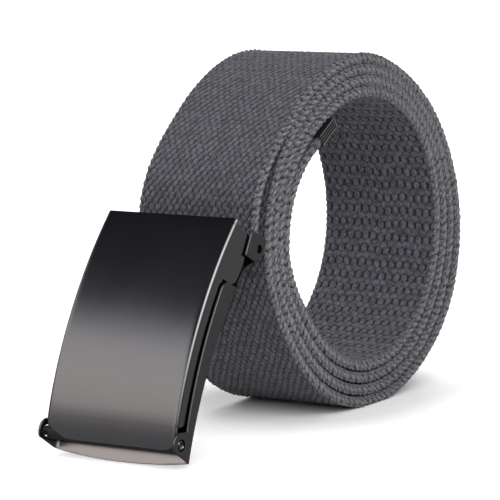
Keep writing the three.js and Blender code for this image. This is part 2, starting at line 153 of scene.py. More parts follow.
class Graph:
    """A node tree that is written in a few plain calls."""

    def __init__(self, tree: bpy.types.NodeTree) -> None:
        """Empty a tree and keep it."""
        self.tree = tree
        tree.nodes.clear()

    def node(self, kind: str, settings: dict[str, object] | None = None,
             sockets: dict[str | int, object] | None = None, output: str | int = 0) -> Value:
        """Add a node of any kind.

        Args:
            kind: Blender's name of the node type.
            settings: attributes of the node, or "stops" for a ramp.
            sockets: numbers, colours or values for its inputs.
            output: name or place of the output that is returned.

        Returns:
            The chosen output.
        """
        made = self.tree.nodes.new(kind)
        for name, setting in (settings or {}).items():
            if name == "stops":
                self._ramp(made.color_ramp.elements, setting)
            else:
                setattr(made, name, setting)
        for name, given in (sockets or {}).items():
            if isinstance(given, Value):
                self.tree.links.new(given.socket, made.inputs[name])
            else:
                made.inputs[name].default_value = given
        return Value(self, made.outputs[output] if made.outputs else None)

    @staticmethod
    def _ramp(elements: bpy.types.ColorRampElements,
              stops: Sequence[tuple[float, Colour]]) -> None:
        """Set a colour ramp.

        Args:
            elements: the ramp's own stops.
            stops: place and colour that each gets.
        """
        while len(elements) < len(stops):
            elements.new(1.0)
        for element, (place, colour) in zip(elements, stops):
            element.position = place
            element.color = (*colour, 1.0)

    def mix(self, share: Value, first: Value | Colour, second: Value | Colour) -> Value:
        """Blend two colours.

        Args:
            share: share of the second colour.
            first: colour at zero.
            second: colour at one.

        Returns:
            The blended colour.
        """
        start, end = ((*colour, 1.0) if isinstance(colour, tuple) else colour
                      for colour in (first, second))
        return self.node("ShaderNodeMix", {"data_type": "RGBA"}, {0: share, 6: start, 7: end}, 2)

    def part(self, place: Value, axis: str) -> Value:
        """One of the three numbers of a place."""
        return self.node("ShaderNodeSeparateXYZ", None, {0: place}, axis)

    def coordinates(self, layer: str) -> tuple[Value, Value]:
        """Both coordinates of a UV layer."""
        place = self.node("ShaderNodeUVMap", {"uv_map": layer})
        return self.part(place, "X"), self.part(place, "Y")

    def object_place(self) -> Value:
        """Place on the object in metres."""
        return self.node("ShaderNodeTexCoord", output="Object")

    def noise(self, place: Value, scale: float, detail: float) -> Value:
        """Smooth noise between about 0.3 and 0.7, with so many grains for each metre."""
        return self.node("ShaderNodeTexNoise", None,
                         {"Vector": place, "Scale": scale, "Detail": detail})


def new_material(name: str) -> tuple[bpy.types.Material, Graph]:
    """Start an empty material.

    Args:
        name: name of the material.

    Returns:
        The material and its graph.
    """
    material = bpy.data.materials.new(name)
    material.use_nodes = True
    return material, Graph(material.node_tree)


def surface(graph: Graph, constants: dict[str, float], varied: dict[str, Value],
            bump: tuple[Value, float, float] | None = None) -> None:
    """Finish a material with its surface shader.

    Args:
        graph: graph of the material.
        constants: plain settings of the shader's sockets.
        varied: values that change over the surface.
        bump: height, strength and distance in metres of a bump.
    """
    sockets = {**constants, **varied}
    if bump is not None:
        inputs = dict(zip(("Height", "Strength", "Distance"), bump))
        sockets["Normal"] = graph.node("ShaderNodeBump", None, inputs)
    shader = graph.node("ShaderNodeBsdfPrincipled", None, sockets)
    graph.node("ShaderNodeOutputMaterial", None, {"Surface": shader})


@dataclass(frozen=True)
class PaintedLightZone:
    """Part of a piece with painted light, a lighter colour in place of a reflection or highlight
    that it catches: where it starts and where it is full, in metres.
    """

    colour: Colour
    across: tuple[float, float]
    rise: tuple[float, float]

    def share(self, graph: Graph, place: Value) -> Value:
        """How much of the painted light colour a place has.

        Args:
            graph: graph of the material.
            place: place on the object.

        Returns:
            Share between 0 and 1.
        """
        across, rise = graph.part(place, "X").absolute(), graph.part(place, "Z")
        shares = [((value - start) * (1.0 / (full - start))).least(1.0).most(0.0)
                  for value, (start, full) in ((across, self.across), (rise, self.rise))]
        return shares[0] * shares[1]


@dataclass(frozen=True)
class MetalFinish:
    """Plated or blackened metal with a fine grain, a random rubbed tone and, where given, a zone
    of painted light.
    """

    name: str
    colour: Colour
    rubbed: Colour
    roughness: float
    metallic: float = 1.0
    painted_light_zone: PaintedLightZone | None = None
    grain: float = 0.05
    relief: float = 0.01 * MM

    def material(self) -> bpy.types.Material:
        """Build the finish.

        Returns:
            The material.
        """
        material, graph = new_material(self.name)
        place = graph.object_place()
        cloud = graph.noise(place, 60.0, 2.0)
        stretched = graph.node("ShaderNodeMapping", None,
                               {"Vector": place, "Scale": (12.0, 1.0, 1.0)})
        grain = graph.noise(stretched, 160.0, 4.0)
        colour = graph.mix(cloud * 0.5 + grain * 0.3, self.colour, self.rubbed)
        # Painted light: the zone's lighter colour stands in for a reflection or a highlight.
        if self.painted_light_zone is not None:
            colour = graph.mix(self.painted_light_zone.share(graph, place), colour, self.painted_light_zone.colour)
        roughness = self.roughness + (cloud - 0.5) * self.grain * 2 + (grain - 0.5) * self.grain
        surface(graph, {"Metallic": self.metallic}, {"Base Color": colour, "Roughness": roughness},
                (grain + cloud * 0.5, 0.25, self.relief))
        return material


@dataclass(frozen=True)
class Floats:
    """One set of yarn floats, with sizes as shares of a cell of the weave."""

    shift: float
    wide: float
    tall: float
    height: float = 1.0


@dataclass(frozen=True)
class Weave:
    """The web's weave: rows of raised floats with flatter ones set between them."""

    raised: Floats
    sunk: Floats
    twist: float
    relief: float
    ply: float
    slope: float
    slant: float
    column: float
    row: float

    def height(self, x: Array, along: Array) -> Array:
        """Height of the floats.

        Args:
            x: millimetres across.
            along: millimetres along the web.

        Returns:
            Height between 0 and 1.
        """
        def bead(floats: Floats) -> Array:
            """One set of floats, each a rounded mound."""
            middle = 0.5 + floats.shift
            column = ((x / self.column + middle) % 1.0 - 0.5) / floats.wide
            row = ((along / self.row + middle) % 1.0 - 0.5) / floats.tall
            column = column + self.slant * row
            return floats.height * np.sqrt(np.maximum(0.0, 1.0 - column**2 - row**2))
        return np.maximum(bead(self.raised), bead(self.sunk))


WEAVES = {
    Face.OUTER: Weave(Floats(0.0, 0.39, 0.33), Floats(0.5, 0.40, 0.32, 0.92),
                      0.3, 0.55, 0.7, -0.9, -0.14, 2.1, 3.2),
    Face.INNER: Weave(Floats(0.0, 0.41, 0.34), Floats(0.5, 0.60, 0.31, 0.80),
                      0.18, 0.7, 0.9, 0.75, 0.0, 2.6, 4.1),
}


@dataclass(frozen=True)
class WebFinish:
    """Spun cotton web in charcoal grey, with painted shade in the slits between its raised floats.
    """

    name: str
    weave: Weave
    yarn: Colour = (0.036, 0.0375, 0.0445)
    wear_and_highlight: Colour = (0.093, 0.096, 0.111)
    painted_slit_shade: Colour = (0.009, 0.009, 0.011)

    def material(self) -> bpy.types.Material:
        """Build the weave.

        Returns:
            The material.
        """
        material, graph = new_material(self.name)
        across, along = graph.coordinates("weave")
        weave = self.weave
        raised = self._bead(across, along, weave.raised)
        mound = raised.most(self._bead(across, along, weave.sunk) * weave.sunk.height)
        place = graph.object_place()
        fuzz = graph.noise(place, 1300.0, 4.0)
        fibre = graph.noise(place, 3400.0, 2.0)
        blotch = graph.noise(place, 420.0, 2.0)
        turns = (along * weave.slope + across) * (1.0 / (weave.ply * MM))
        twist = (turns + (blotch - 0.5) * 1.2).wave()
        height = mound * weave.relief + twist * weave.twist * 0.6 + fuzz * 0.75 + fibre * 0.35
        # Painted shade: where the mound is low, between the floats, the colour is mixed towards a
        # near-black shade.
        depth = (mound * 1.3 + 0.06 + (0.7 - weave.relief) * 1.2).least(1.0)
        # Tone: random fuzz, fibre, twist and blotch, and the floats a little lighter towards their
        # tops as a painted highlight.
        tone = (fuzz - 0.5) * 3.2 + (fibre - 0.5) * 1.6 + (twist - 0.5) * weave.twist * 1.4 \
            + (blotch - 0.5) * 1.6 + (mound - 0.7) * 0.5 + 0.45
        yarn = graph.mix(tone, self.yarn, self.wear_and_highlight)
        surface(graph, CLOTH, {"Base Color": graph.mix(depth, self.painted_slit_shade, yarn)},
                (height, 0.9, 0.6 * MM))
        return material

    def _bead(self, across: Value, along: Value, floats: Floats) -> Value:
        """Height of one set of yarn floats, one in the middle of each cell.

        Args:
            across: place across the web in metres.
            along: place along the web in metres.
            floats: size and place of the floats.

        Returns:
            Height between 0 and 1.
        """
        middle = 0.5 + floats.shift
        column = ((across / (self.weave.column * MM) + middle).fraction() - 0.5) / floats.wide
        row = ((along / (self.weave.row * MM) + middle).fraction() - 0.5) / floats.tall
        column = column + row * self.weave.slant
        return (1.0 - column * column - row * row).most(0.0).root()


@dataclass(frozen=True)
class EdgeYarnFinish:
    """The brighter twisted yarn that turns round the web's edges."""

    name: str
    pitch: float
    yarn: Colour = (0.026, 0.027, 0.03)
    wear_and_highlight: Colour = (0.175, 0.179, 0.186)

    def material(self) -> bpy.types.Material:
        """Build the yarn.

        Returns:
            The material.
        """
        material, graph = new_material(self.name)
        around, along = graph.coordinates("weave")
        ply = (along * (1 / self.pitch) + around * 2.0).wave()
        fuzz = graph.noise(graph.object_place(), 2200.0, 4.0)
        reach, side = graph.coordinates("link")
        # Painted shade and highlight: each link is lighter in its middle and darker at its ends,
        # where it dives under, and the recessed side chains are darker; ply and fuzz add tone of
        # the yarn itself.
        tone = (1.0 - reach * reach) * 0.75 - side * 0.28 + ply * 0.25 + (fuzz - 0.5) * 2.0 - 0.05
        surface(graph, CLOTH, {"Base Color": graph.mix(tone, self.yarn, self.wear_and_highlight)},
                (ply * 0.7 + fuzz * 0.5, 0.8, 0.4 * MM))
        return material


@contextmanager
def opened(mesh: bpy.types.Mesh) -> Iterator[bmesh.types.BMesh]:
    """Open a mesh for changes and write them back.

    Args:
        mesh: mesh to change.

    Yields:
        The open mesh.
    """
    shell = bmesh.new()
    shell.from_mesh(mesh)
    yield shell
    shell.to_mesh(mesh)
    shell.free()


def mesh_object(name: str, points: Array, faces: Sequence[Sequence[int]],
                smooth: bool = True) -> bpy.types.Object:
    """Make an object from points and faces, with its normals outwards.

    Args:
        name: name of the object.
        points: corner points in metres.
        faces: corner numbers of each face.
        smooth: shade the faces smooth.

    Returns:
        The linked object.
    """
    mesh = bpy.data.meshes.new(name)
    mesh.from_pydata(np.asarray(points).tolist(), [], faces)
    with opened(mesh) as shell:
        bmesh.ops.recalc_face_normals(shell, faces=shell.faces)
    mesh.polygons.foreach_set("use_smooth", [smooth] * len(mesh.polygons))
    made = bpy.data.objects.new(name, mesh)
    bpy.context.scene.collection.objects.link(made)
    return made


def grid_faces(rows: int, columns: int, closed: bool, first: int = 0) -> list[list[int]]:
    """Quads of a grid of points that is stored row by row.

    Args:
        rows: number of rows.
        columns: number of columns.
        closed: join the last column to the first.
        first: number of the first point.

    Returns:
        The faces.
    """
    count = columns if closed else columns - 1
    row, column = np.meshgrid(np.arange(rows - 1), np.arange(count), indexing="ij")
    following = (column + 1) % columns
    corners = [row * columns + column, row * columns + following,
               (row + 1) * columns + following, (row + 1) * columns + column]
    return (np.stack(corners, -1).reshape(-1, 4) + first).tolist()


def tube_faces(rows: int, columns: int, first: int = 0) -> list[list[int]]:
    """Faces of a tube of rings with flat ends.

    Args:
        rows: number of rings.
        columns: number of points in a ring.
        first: number of the first point.

    Returns:
        The faces, the two ends last.
    """
    last = first + (rows - 1) * columns
    return grid_faces(rows, columns, True, first) + [
        list(range(first, first + columns))[::-1], list(range(last, last + columns))]


def loft(name: str, rings: Array) -> bpy.types.Object:
    """Join closed rings of points, one row for each, into a solid with flat ends."""
    return mesh_object(name, rings.reshape(-1, 3), tube_faces(*rings.shape[:2]))


def slab(name: str, front: Array, back: Array) -> bpy.types.Object:
    """Close two grids of the same size into one sheet.

    Args:
        name: name of the object.
        front: grid of points of the front face.
        back: grid of points of the back face.

    Returns:
        The object.
    """
    rows, columns = front.shape[:2]
    size = rows * columns
    faces = grid_faces(rows, columns, False) + grid_faces(rows, columns, False, size)
    rim = [row * columns for row in range(rows)]
    rim += [(rows - 1) * columns + column for column in range(1, columns)]
    rim += [row * columns + columns - 1 for row in range(rows - 2, -1, -1)]
    rim += list(range(columns - 2, 0, -1))
    faces += [[here, there, there + size, here + size]
              for here, there in zip(rim, rim[1:] + rim[:1])]
    return mesh_object(name, np.concatenate([front, back]).reshape(-1, 3), faces)


def soften_edges(piece: bpy.types.Object, width: float, angle: float = 35.0) -> None:
    """Round a piece's sharp edges a little.

    Args:
        piece: object to change.
        width: width of the rounding in metres.
        angle: smallest angle of an edge that is rounded, in degrees.
    """
    bevel = piece.modifiers.new("edge_round", "BEVEL")
    bevel.width = width
    bevel.segments = 2
    bevel.limit_method = "ANGLE"
    bevel.angle_limit = math.radians(angle)
    bevel.use_clamp_overlap = True
    weld = piece.modifiers.new("merge_slivers", "WELD")
    weld.merge_threshold = 0.0003 * MM
    normals = piece.modifiers.new("flat_faces", "WEIGHTED_NORMAL")
    normals.keep_sharp = False


def finish_piece(piece: bpy.types.Object, material: bpy.types.Material, body: Body,
                 replaced: str) -> None:
    """Args:
        piece: object to dress.
        material: its material.
        body: body that it moves with.
        replaced: node of the frame that it stands for.
    """
    piece.data.materials.clear()
    piece.data.materials.append(material)
    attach(piece, body.value)
    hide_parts(replaced)
    LOG.info("%s: %d faces on %s", piece.name, len(piece.data.polygons), body.value)


@dataclass(frozen=True)
class BucklePlace:
    """Where the buckle stands: a leaning frame of out and along at the hinge line."""

    lean: float = math.radians(29.5)
    hinge_y: float = -72.6228
    hinge_z: float = 7.3344

    def points(self, x: Array | float, out: Array | float, along: Array | float) -> Array:
        """Turn buckle sizes into places of the shared frame.

        Args:
            x: millimetres across.
            out: millimetres outwards from the hinge line.
            along: millimetres upwards along the buckle.

        Returns:
            Points in metres.
        """
        x, out, along = np.broadcast_arrays(x, out, along)
        y = self.hinge_y - out * math.cos(self.lean) + along * math.sin(self.lean)
        z = self.hinge_z + out * math.sin(self.lean) + along * math.cos(self.lean)
        return np.stack([x, y, z], -1) * MM

    def ring(self, x: float, middle: tuple[float, float], radius: Array | float,
             turn: Array) -> Array:
        """Points of a ring about a line across the buckle.

        Args:
            x: millimetres across.
            middle: out and along of the line.
            radius: radius of the ring, or of each point.
            turn: angle of each point.

        Returns:
            Points in metres.
        """
        return self.points(x, middle[0] + radius * np.cos(turn), middle[1] + radius * np.sin(turn))


@dataclass
class RollPath:
    """Side line of the web: clamp, lead, spiral roll and end cap, in millimetres."""

    radius: float = 52.0
    thickness: float = 3.0
    turn_gap: float = 0.2
    turns: float = 4.1625
    lead_turns: float = 0.13
    lead_roll_reach: float = 0.54
    lead_clamp_reach: float = 0.12
    clamped: float = 2.6
    clamp_out: float = -11.85
    clamp_top: float = 62.0
    crimped: float = 2.0
    tip_drop: float = 1.2
    tip_ease: float = 0.11
    centre: tuple[float, float] = (23.88413, 48.52)
    place: BucklePlace = field(default_factory=BucklePlace)
    radius_shares: tuple[float, ...] = (
        1.02, 0.97, 0.975, 0.99, 1.01, 1.05, 1.03, 0.98, 0.96, 1.0, 1.0, 1.02)
    pitch_shares: tuple[float, ...] = (
        0.98, 1.07, 1.14, 1.16, 1.18, 1.35, 1.24, 0.94, 0.84, 1.04, 1.05, 1.0)

    def _share(self, shares: Sequence[float], angle: float) -> float:
        """Read a ring of shares between its rows with a smooth curve.

        Args:
            shares: one share for each 30 degrees from -180.
            angle: direction in degrees.

        Returns:
            The share at that direction.
        """
        place = (angle + 180.0) / (360.0 / len(shares))
        row = math.floor(place)
        step = place - row
        before, start, end, after = (shares[(row + k) % len(shares)] for k in (-1, 0, 1, 2))
        rise, fall = (end - before) / 2, (after - start) / 2
        return ((2 * step**3 - 3 * step**2 + 1) * start + (step**3 - 2 * step**2 + step) * rise
                + (3 * step**2 - 2 * step**3) * end + (step**3 - step**2) * fall)

    def roll(self, turns: float) -> tuple[Array, float, float]:
        """One place on the spiral.

        Args:
            turns: turns from the buckle's side over the top.

        Returns:
            Direction from the middle, outer radius and thickness.
        """
        angle = (360.0 - 360.0 * turns) % 360.0 - 180.0
        pitch = self._share(self.pitch_shares, angle) * self.thickness
        outer = self._share(self.radius_shares, angle) * self.radius - pitch * turns
        eased = min(1.0, max(0.0, (turns - self.turns + self.tip_ease) / self.tip_ease))
        outer -= self.tip_drop * eased**2 * (3 - 2 * eased)
        way = np.array([math.cos(math.radians(angle)), math.sin(math.radians(angle))])
        return way, outer, min(self.thickness, pitch - self.turn_gap)

    def middle(self, turns: float) -> Array:
        """Middle of the web on the spiral, about the roll's middle."""
        way, outer, thickness = self.roll(turns)
        return way * (outer - thickness / 2)

    def clamp_point(self, along: float) -> Array:
        """Middle of the clamped web at a place along the buckle, about the roll's middle."""
        point = self.place.points(0.0, self.clamp_out, along) / MM
        return point[1:] - self.centre

    def tip(self) -> tuple[Array, Array]:
        """Middle of the end cap and the way that it points."""
        middle = self.middle(self.turns)
        radial = middle / np.linalg.norm(middle)
        return middle, np.array([radial[1], -radial[0]])

    def placed(self, x: Array | float, plane: Array) -> Array:
        """Turn places about the roll's middle into points above the floor.

        Args:
            x: millimetres across.
            plane: millimetres from the roll's middle, backwards and upwards.

        Returns:
            Points in metres.
        """
        y, z = plane[..., 0] + self.centre[0], np.maximum(plane[..., 1] + self.centre[1], 0.0)
        return np.stack([np.broadcast_to(x, y.shape), y, z], -1) * MM

    def sides(self) -> tuple[Array, Array]:
        """Closely spaced points of both sides of the web.

        Returns:
            Points of the outer and of the inner side, about the roll's middle.
        """
        outer: list[Array] = []
        inner: list[Array] = []

        def add(middle: Array, way: Array, thickness: float) -> None:
            """Add one pair of points across the web."""
            across = np.array([-way[1], way[0]]) / np.hypot(*way) * thickness / 2
            outer.append(middle + across)
            inner.append(middle - across)

        upwards = np.array([math.sin(self.place.lean), math.cos(self.place.lean)])
        for along in np.linspace(self.clamp_top - 3.2, self.clamp_top - 0.2, 6):
            add(self.clamp_point(along), upwards, self.clamped)
        start, end = self.clamp_point(self.clamp_top), self.middle(self.lead_turns)
        way = self.middle(self.lead_turns + 1 / 60) - end
        way /= np.linalg.norm(way)
        handles = [start, start + upwards * self.lead_clamp_reach * self.radius,
                   end - way * self.lead_roll_reach * self.radius, end]
        end_thickness = self.roll(self.lead_turns)[2]
        for share in np.arange(0.0, 1.0, 1 / 48):
            rest = 1 - share
            weights = (rest**3, 3 * rest**2 * share, 3 * rest * share**2, share**3)
            slopes = (-3 * rest**2, 3 * rest**2 - 6 * rest * share,
                      6 * rest * share - 3 * share**2, 3 * share**2)
            point = sum(weight * handle for weight, handle in zip(weights, handles))
            heading = sum(slope * handle for slope, handle in zip(slopes, handles))
            add(point, heading, self.clamped + (end_thickness - self.clamped) * share)
        for turns in np.arange(self.lead_turns, self.turns - 2.5 / 60, 1 / 360):
            way, reach, thickness = self.roll(turns)
            outer.append(way * reach)
            inner.append(way * (reach - thickness))
        middle, forward = self.tip()
        thick = self.roll(self.turns)[2]
        for ahead, thickness in ((-5.0, thick), (-3.9, self.crimped), (4.2, self.crimped)):
            add(middle + forward * ahead, forward, thickness)
        outside = np.array(outer)
        outside[:, 1] = np.maximum(outside[:, 1], -self.centre[1])
        return outside, np.array(inner)


@dataclass(frozen=True)
class Chain:
    """A row of yarn links along an edge of the web, in millimetres."""

    pitch: float
    length: float
    radius: float
    slant: float
    offset: float
    stand: float
    start: float


@dataclass
class Web:
    """The woven web: yarn floats on both faces and a twisted yarn along both edges."""

    half_width: float = 19.0
    relief: float = 0.7
    edge_round: float = 0.6
    column_steps: int = 3
    row_steps: int = 5
    waver: float = 0.2
    seed: int = 11
    lengths: int = 3
    link_sides: int = 8
    chains: tuple[Chain, ...] = (
        Chain(2.4, 3.2, 0.52, 0.5, 0.0, 0.28, 0.0),
        Chain(2.1, 2.8, 0.46, 0.3, 1.02, -0.06, 0.9),
        Chain(2.1, 2.8, 0.46, 0.3, -1.02, -0.06, 1.8),
    )
    path: RollPath = field(default_factory=RollPath)

    def __post_init__(self) -> None:
        """Spread the side line into evenly spaced stations."""
        sides = self.path.sides()
        steps = np.linalg.norm(np.diff((sides[0] + sides[1]) / 2, axis=0), axis=1)
        distance = np.concatenate([[0.0], np.cumsum(steps)])
        step = WEAVES[Face.OUTER].row / self.row_steps
        self.stations = np.arange(0.0, distance[-1], step)
        self.outer, self.inner = (
            np.stack([np.interp(self.stations, distance, side[:, k]) for k in (0, 1)], -1)
            for side in sides)
        self.length = float(distance[-1])

    def wavered(self, x: Array) -> tuple[Array, Array]:
        """Places on the weave, which wanders a little as real yarns do.

        Args:
            x: millimetres across, round the section.

        Returns:
            Millimetres across and along for every station and every place of the section.
        """
        draw = np.random.default_rng(self.seed)
        knots = np.arange(0.0, self.length + 12.0, 6.0)
        drift = np.interp(self.stations, knots, draw.normal(0.0, self.waver, len(knots)))
        columns = 16
        knots = np.arange(0.0, self.length + 30.0, 25.0)
        lag = np.stack([
            np.interp(self.stations, knots, draw.normal(0.0, 1.6 * self.waver, len(knots)))
            for _ in range(columns)], -1)
        place = (x + self.half_width) / (2 * self.half_width) * (columns - 1)
        left = np.clip(place.astype(int), 0, columns - 2)
        share = np.clip(place - left, 0.0, 1.0)
        lags = lag[:, left] * (1 - share) + lag[:, left + 1] * share
        return x[None, :] + drift[:, None], self.stations[:, None] + lags

    def section(self) -> tuple[Array, Array, Array]:
        """Ring of places round the web's section.

        Returns:
            Millimetres across, side of the middle from -1 to 1, and the share of relief.
        """
        step = WEAVES[Face.OUTER].column / self.column_steps
        flat = self.half_width - self.edge_round
        count = int(flat / step)
        face = np.arange(-count, count + 1) * step
        bend = np.radians([18.0, 45.0, 72.0])
        edge_x = flat + self.edge_round * np.sin(bend)
        edge_side = 1.0 - 0.45 * (1.0 - np.cos(bend))
        right_x = np.concatenate([edge_x, [self.half_width], edge_x[::-1]])
        right_side = np.concatenate([edge_side, [0.0], -edge_side[::-1]])
        x = np.concatenate([face, right_x, face[::-1], -right_x])
        side = np.concatenate([np.ones(len(face)), right_side, -np.ones(len(face)), -right_side])
        return x, side, np.where(np.abs(x) <= flat, 1.0, 0.5 * np.abs(side))

    def build(self, faces: dict[Face, bpy.types.Material], yarn: bpy.types.Material) -> None:
        """Build and dress the web.

        Args:
            faces: finish of each face.
            yarn: finish of the edge yarns.
        """
        x, side, relief = self.section()
        across, along = self.wavered(x)
        outer, inner = WEAVES[Face.OUTER], WEAVES[Face.INNER]
        height = np.where(side[None, :] >= 0.0, outer.height(across, along),
                          inner.height(across, along))
        middle, half = (self.outer + self.inner) / 2, (self.outer - self.inner) / 2
        thick = np.linalg.norm(half, axis=1)
        share = np.where(side >= 0.0, outer.relief, inner.relief)
        drop = self.relief * (relief * share)[None, :] * (1.0 - height)
        reach = side[None, :] * (1.0 - drop / thick[:, None])
        points = self.path.placed(
            x, middle[:, None, :] + half[:, None, :] * reach[:, :, None])
        cuts = np.linspace(0, len(points) - 1, self.lengths + 1).astype(int)
        for number, (start, stop) in enumerate(zip(cuts[:-1], cuts[1:]), 1):
            piece = loft(f"web_length_{number}", points[start:stop + 1])
            self._lay_coordinates(piece, across[start:stop + 1], along[start:stop + 1], "weave")
            finish_piece(piece, faces[Face.OUTER], Body.BELT, "web_strap")
            piece.data.materials.append(faces[Face.INNER])
            inside = np.tile((side < 0.0).astype(np.int32), stop - start)
            piece.data.polygons.foreach_set("material_index", np.append(inside, [0, 0]))
        for name, edge in (("web_edge_yarn_right", 1), ("web_edge_yarn_left", -1)):
            self._edge_yarn(name, edge, yarn)

    @staticmethod
    def _lay_coordinates(piece: bpy.types.Object, across: Array, along: Array,
                         name: str) -> None:
        """Write two numbers of each point into a UV layer, millimetres as metres.

        Args:
            piece: object whose points are stored row by row.
            across: first number of every point.
            along: second number of every point.
            name: name of the layer.
        """
        places = np.stack([across, along], -1).reshape(-1, 2) * MM
        corners = np.empty(len(piece.data.loops), dtype=np.int64)
        piece.data.loops.foreach_get("vertex_index", corners)
        layer = piece.data.uv_layers.new(name=name)
        layer.data.foreach_set("uv", places[corners].astype(np.float32).ravel())

    def _edge_yarn(self, name: str, edge: int, material: bpy.types.Material) -> None:
        """Lay the chains of slanted links along one edge.

        Args:
            name: name of the piece.
            edge: 1 for the right edge, -1 for the left.
            material: finish of the yarn.
        """
        draw = np.random.default_rng(self.seed + edge)
        around = np.linspace(0.0, TURN, self.link_sides, endpoint=False)
        points: list[Array] = []
        faces: list[list[int]] = []
        places: list[Array] = []
        first = 0
        for chain in self.chains:
            shares = np.linspace(-1.0, 1.0, 7 if chain.offset == 0.0 else 5)
            girth = chain.radius * (1.0 - 0.75 * np.abs(shares) ** 3)
            for start in np.arange(chain.start + chain.length, self.length - 14.0, chain.pitch):
                along = start + draw.normal(0.0, 0.12) + shares * chain.length / 2
                size = 1.0 + draw.normal(0.0, 0.09)
                points.append(self._link(chain, edge, along, shares, girth * size, around))
                faces += tube_faces(len(shares), len(around), first)
                first += len(points[-1])
                turned, run = np.meshgrid(around / TURN / MM, along)
                # The link layer carries the painted shade: the place on the link, and 1 for the
                # recessed side chains.
                reach = np.broadcast_to(shares[:, None] / MM, run.shape)
                layer = np.full(run.shape, float(chain.offset != 0.0) / MM)
                places.append(np.stack([turned, run, reach, layer], -1).reshape(-1, 4))
        piece = mesh_object(name, np.concatenate(points), faces)
        laid = np.concatenate(places)
        self._lay_coordinates(piece, laid[:, 0], laid[:, 1], "weave")
        self._lay_coordinates(piece, laid[:, 2], laid[:, 3], "link")
        finish_piece(piece, material, Body.BELT, "web_strap")

    def _link(self, chain: Chain, edge: int, along: Array, shares: Array, girth: Array,
              around: Array) -> Array:
        """Points of one link.

        Args:
            chain: sizes of the chain.
            edge: 1 for the right edge, -1 for the left.
            along: millimetres along the web of each ring.
            shares: place of each ring on the link, from -1 to 1.
            girth: radius of each ring.
            around: angles of the points of a ring.

        Returns:
            Points in metres, ring by ring.
        """
        outer, inner = (np.stack([np.interp(along, self.stations, side[:, k]) for k in (0, 1)], -1)
                        for side in (self.outer, self.inner))
        across = outer - inner
        across /= np.linalg.norm(across, axis=1)[:, None]
        slant = chain.offset - chain.slant * np.sin(shares * math.pi / 2)
        stand = self.half_width + chain.stand - 0.3 - 0.5 * shares**2
        lift = girth[:, None] * np.cos(around)[None, :]
        spread = girth[:, None] * np.sin(around)[None, :] + slant[:, None]
        plane = (outer + inner)[:, None, :] / 2 + across[:, None, :] * spread[:, :, None]
        return self.path.placed(edge * (stand[:, None] + lift), plane).reshape(-1, 3)


@dataclass
class BentSheet:
    """A sheet bent along both sides into a channel, swept along a curved face."""

    half_width: float
    sheet: float
    bend: float
    wall_way: int
    face: Callable[[Array], Array]
    edge: Callable[[float], float]
    low: Callable[[float], float]
    stations: Sequence[float]
    columns: Array
    low_blend: float
    place: BucklePlace = field(default_factory=BucklePlace)
    wall_steps: int = 4
    bend_steps: int = 5
    nose_steps: int = 4
    nose: float = 0.28

    def _side_lines(self, depth: float) -> tuple[Array, Array]:
        """Wall and bend of one section, from the free edge to the face.

        Args:
            depth: depth of the wall behind the face.

        Returns:
            Distance inwards from the side and depth, outside and inside.
        """
        def bent(angles: Array) -> list[tuple[float, float]]:
            """Places on the outside of the bend."""
            return [(self.bend - self.bend * math.cos(angle),
                     self.bend - self.bend * math.sin(angle)) for angle in angles]

        corner = max(self.bend, self.sheet)
        if depth > self.bend + self.nose + 0.02:
            wall = np.linspace(0.0, 1.0, self.wall_steps)
            turn = np.linspace(0.0, 1.0, self.bend_steps + 1)[1:]
            around = np.linspace(0.0, math.pi / 2, self.nose_steps, endpoint=False)
            half = self.sheet / 2 - 0.01
            nose = [(half * (1 - math.sin(angle)), depth - self.nose * (1 - math.cos(angle)))
                    for angle in around]
            root = depth - self.nose
            outside = nose + [(0.0, root + (self.bend - root) * share) for share in wall]
            outside += bent(turn * math.pi / 2)
            inside = [(self.sheet - place, deep) for place, deep in nose]
            inside += [(self.sheet, root + (corner - root) * share) for share in wall]
            radius = corner - self.sheet
            inside += [(corner - radius * math.cos(share * math.pi / 2) + 0.4 * share,
                        corner - radius * math.sin(share * math.pi / 2)) for share in turn]
        else:
            start = math.acos(max(0.0, 1.0 - min(depth, self.bend) / self.bend))
            count = self.nose_steps + self.wall_steps + self.bend_steps
            outside = bent(np.linspace(math.pi / 2 - start, math.pi / 2, count))
            inside = [(place, self.sheet)
                      for place in np.linspace(outside[0][0] + 0.12, corner + 0.4, count)]
        return np.array(outside), np.array(inside)

    def build(self, name: str) -> bpy.types.Object:
        """Build the sheet as one closed mesh.

        Args:
            name: name of the piece.

        Returns:
            The object.
        """
        grids: tuple[list[Array], list[Array]] = ([], [])
        inside = self.half_width - max(self.bend, self.sheet) - 0.45
        columns = self.columns[np.abs(self.columns) < inside]
        for station in self.stations:
            sides = []
            for side in (-1, 1):
                along = self._shift(station, self.low(side * self.half_width))
                depth = self.wall_way * (self.edge(along) - float(self.face(along)))
                sides.append(self._side_lines(depth))
            for grid, left, right, layer in zip(grids, *sides, (0.0, self.sheet)):
                x = np.concatenate([left[:, 0] - self.half_width, columns,
                                    self.half_width - right[::-1, 0]])
                deep = np.concatenate([left[:, 1], np.full(len(columns), layer), right[::-1, 1]])
                along = np.array([self._shift(station, self.low(value)) for value in x])
                grid.append(self.place.points(x, self.face(along) + self.wall_way * deep, along))
        return slab(name, np.array(grids[0]), np.array(grids[1]))

    def _shift(self, station: float, low: float) -> float:
        """Move a station so that the first one lies on the lower edge.

        Args:
            station: place along the sheet.
            low: place of the lower edge.

        Returns:
            The moved place.
        """
        if station >= self.low_blend:
            return station
        share = (station - self.stations[0]) / (self.low_blend - self.stations[0])
        return low + (self.low_blend - low) * share


def arc_out(along: Array | float, crown: float, crown_along: float, radius: float) -> Array:
    """Outward place of a face that is bent to a long arc about its crown."""
    return crown - radius + np.sqrt(radius**2 - (np.asarray(along) - crown_along) ** 2)


